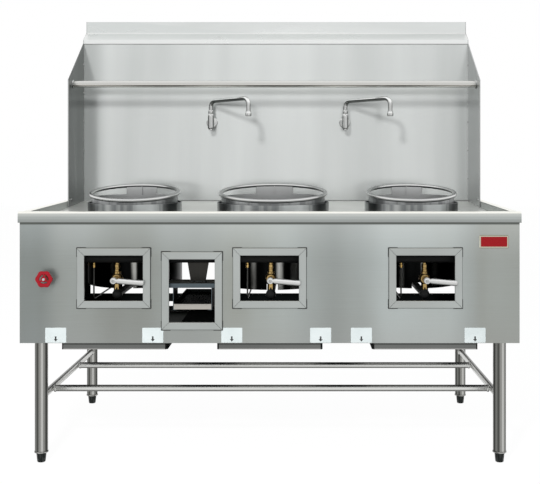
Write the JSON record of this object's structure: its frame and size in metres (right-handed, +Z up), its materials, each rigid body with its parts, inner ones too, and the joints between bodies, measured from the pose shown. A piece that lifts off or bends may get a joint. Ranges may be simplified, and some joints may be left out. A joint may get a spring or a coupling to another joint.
{
  "type": "wok range",
  "caption": "Free-standing gas wok range in stainless steel: pitched top with gutter, tilted lift-off wok rings, splash with flue, swing faucets, drip trays and a pipe frame",
  "frame": {"origin": "on the floor under the middle of the overall width and depth", "axes": "+X to the right as the cook faces it, +Y to the back, +Z up"},
  "size_m": [1.841, 1.085, 1.778],
  "materials": {
    "body_steel": "fine horizontal grain, satin",
    "splash_steel": "bright satin sheet",
    "trim_steel": "linished frame",
    "pipe_steel": "polished pipe with drawn streaks",
    "polished_steel": "mirror polished",
    "dark_steel": "dull mill finish",
    "black_iron": "matt black, slightly rough",
    "cast_iron": "sand cast, matt",
    "brass": "machined, slightly dull",
    "red_paint": "glossy enamel"
  },
  "bodies": {
    "root": {"front_panel": "body_steel", "side_panel_left": "body_steel", "side_panel_right": "body_steel", "base_frame": "dark_steel", "deck_plate": "body_steel", "gutter": "body_steel", "rim_front": "body_steel", "rim_left": "body_steel", "rim_right": "body_steel", "splash_back": "splash_steel", "splash_side_left": "splash_steel", "splash_side_right": "splash_steel", "chase_casing": "splash_steel", "flue_cap": "splash_steel", "pipe_rack": "pipe_steel", "trim_left": "trim_steel", "trim_middle": "trim_steel", "trim_right": "trim_steel", "trim_drain": "trim_steel", "chamber_left": "body_steel", "burner_left": "cast_iron", "gas_line_left": "black_iron", "gas_valve_left": "brass", "pilot_left": "brass", "chamber_middle": "body_steel", "burner_middle": "cast_iron", "gas_line_middle": "black_iron", "gas_valve_middle": "brass", "pilot_middle": "brass", "chamber_right": "body_steel", "burner_right": "cast_iron", "gas_line_right": "black_iron", "gas_valve_right": "brass", "pilot_right": "brass", "gas_manifold": "black_iron", "drain_sump": "dark_steel", "water_valve": "brass", "faucet_left": "polished_steel", "faucet_right": "polished_steel", "leg_frame_left": "pipe_steel", "leg_frame_right": "pipe_steel", "cross_bar_front": "pipe_steel", "cross_bar_rear": "pipe_steel"},
    "wok_ring_left": {"wok_ring_left": "polished_steel"},
    "wok_ring_middle": {"wok_ring_middle": "polished_steel"},
    "wok_ring_right": {"wok_ring_right": "polished_steel"},
    "valve_lever_left": {"valve_lever_left": "polished_steel"},
    "valve_lever_middle": {"valve_lever_middle": "polished_steel"},
    "valve_lever_right": {"valve_lever_right": "polished_steel"},
    "drip_tray_left": {"drip_tray_left": "dark_steel"},
    "drip_tray_middle": {"drip_tray_middle": "dark_steel"},
    "drip_tray_right": {"drip_tray_right": "dark_steel"},
    "strainer_tray": {"strainer_tray": "dark_steel"},
    "handwheel": {"handwheel": "red_paint"},
    "spout_left": {"spout_left": "polished_steel"},
    "spout_right": {"spout_right": "polished_steel"},
    "foot_front_left": {"foot_front_left": "dark_steel"},
    "foot_front_right": {"foot_front_right": "dark_steel"},
    "foot_rear_left": {"foot_rear_left": "dark_steel"},
    "foot_rear_right": {"foot_rear_right": "dark_steel"}
  },
  "joints": [
    {"name": "wok_ring_left_lift", "type": "slide", "parent": "root", "child": "wok_ring_left", "axis": [0, -0.0244, 0.9997], "range_m": [0, 0.08]},
    {"name": "wok_ring_middle_lift", "type": "slide", "parent": "root", "child": "wok_ring_middle", "axis": [0, -0.0244, 0.9997], "range_m": [0, 0.08]},
    {"name": "wok_ring_right_lift", "type": "slide", "parent": "root", "child": "wok_ring_right", "axis": [0, -0.0244, 0.9997], "range_m": [0, 0.08]},
    {"name": "valve_lever_left_turn", "type": "hinge", "parent": "root", "child": "valve_lever_left", "pos_m": [-0.567, -0.5205, 0.693], "axis": [0, 1, 0], "range_deg": [0, 90]},
    {"name": "valve_lever_middle_turn", "type": "hinge", "parent": "root", "child": "valve_lever_middle", "pos_m": [0.003, -0.5205, 0.693], "axis": [0, 1, 0], "range_deg": [0, 90]},
    {"name": "valve_lever_right_turn", "type": "hinge", "parent": "root", "child": "valve_lever_right", "pos_m": [0.573, -0.5205, 0.693], "axis": [0, 1, 0], "range_deg": [0, 90]},
    {"name": "drip_tray_left_slide", "type": "slide", "parent": "root", "child": "drip_tray_left", "axis": [0, -1, 0], "range_m": [0, 0.6]},
    {"name": "drip_tray_middle_slide", "type": "slide", "parent": "root", "child": "drip_tray_middle", "axis": [0, -1, 0], "range_m": [0, 0.6]},
    {"name": "drip_tray_right_slide", "type": "slide", "parent": "root", "child": "drip_tray_right", "axis": [0, -1, 0], "range_m": [0, 0.6]},
    {"name": "strainer_tray_slide", "type": "slide", "parent": "root", "child": "strainer_tray", "axis": [0, -1, 0], "range_m": [0, 0.3]},
    {"name": "handwheel_turn", "type": "hinge", "parent": "root", "child": "handwheel", "pos_m": [-0.816, -0.5345, 0.7], "axis": [0, -1, 0], "range_deg": [0, 720]},
    {"name": "spout_left_swing", "type": "hinge", "parent": "root", "child": "spout_left", "pos_m": [-0.292, 0.3015, 1.3443], "axis": [0, 0, 1], "range_deg": [-120, 45]},
    {"name": "spout_right_swing", "type": "hinge", "parent": "root", "child": "spout_right", "pos_m": [0.316, 0.3015, 1.3443], "axis": [0, 0, 1], "range_deg": [-120, 45]},
    {"name": "foot_front_left_height", "type": "slide", "parent": "root", "child": "foot_front_left", "axis": [0, 0, -1], "range_m": [0, 0.025]},
    {"name": "foot_front_right_height", "type": "slide", "parent": "root", "child": "foot_front_right", "axis": [0, 0, -1], "range_m": [0, 0.025]},
    {"name": "foot_rear_left_height", "type": "slide", "parent": "root", "child": "foot_rear_left", "axis": [0, 0, -1], "range_m": [0, 0.025]},
    {"name": "foot_rear_right_height", "type": "slide", "parent": "root", "child": "foot_rear_right", "axis": [0, 0, -1], "range_m": [0, 0.025]}
  ]
}
